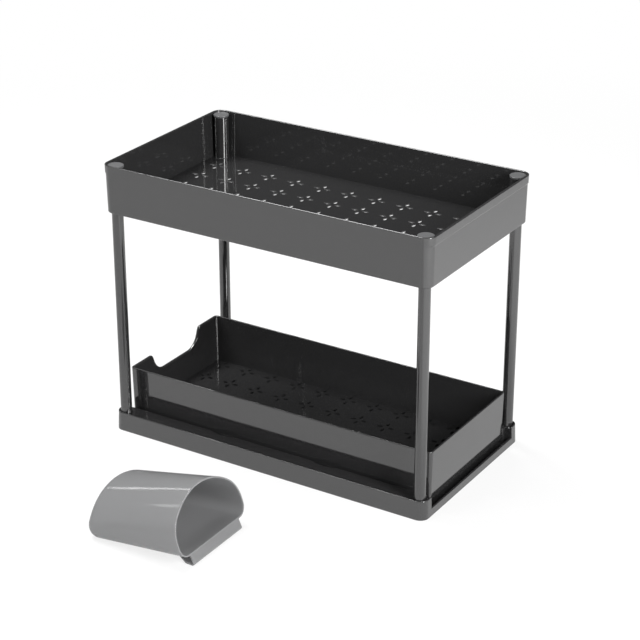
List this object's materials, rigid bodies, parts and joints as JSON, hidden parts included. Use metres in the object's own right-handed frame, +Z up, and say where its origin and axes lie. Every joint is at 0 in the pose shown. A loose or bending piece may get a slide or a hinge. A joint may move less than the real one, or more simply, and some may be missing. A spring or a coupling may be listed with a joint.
{
  "type": "under sink organizer",
  "caption": "Tiered plastic under sink organizer: open top tray on posts over a base with a pull-out drawer, drain petals in both floors, and a loose hanging cup.",
  "frame": {"origin": "middle of the base's flat underside, on the surface that the organizer stands on", "axes": "+X along the long side, away from the drawer's finger notch; +Y towards the long side away from the loose cup; +Z up"},
  "size_m": [0.3916, 0.4176, 0.3082],
  "materials": {
    "dark_plastic": "smooth glossy dark grey moulded plastic",
    "post_plastic": "glossy dark grey drawn plastic tube",
    "cap_plastic": "glossy grey moulded plastic",
    "cup_plastic": "glossy light grey moulded plastic"
  },
  "bodies": {
    "frame": {"base_tray": "dark_plastic", "top_tray": "dark_plastic", "post_front_left": "post_plastic", "post_front_right": "post_plastic", "post_back_left": "post_plastic", "post_back_right": "post_plastic", "end_cap_front_left": "cap_plastic", "end_cap_front_right": "cap_plastic", "end_cap_back_left": "cap_plastic", "end_cap_back_right": "cap_plastic"},
    "drawer": {"sliding_drawer": "dark_plastic"},
    "cup": {"hanging_cup": "cup_plastic"}
  },
  "joints": [
    {"name": "drawer_slide", "type": "slide", "parent": "frame", "child": "drawer", "axis": [-1, 0, 0], "range_m": [0, 0.24]},
    {"name": "cup_lift", "type": "slide", "parent": "frame", "child": "cup", "axis": [0, 0, 1], "range_m": [0, 0.3]}
  ]
}
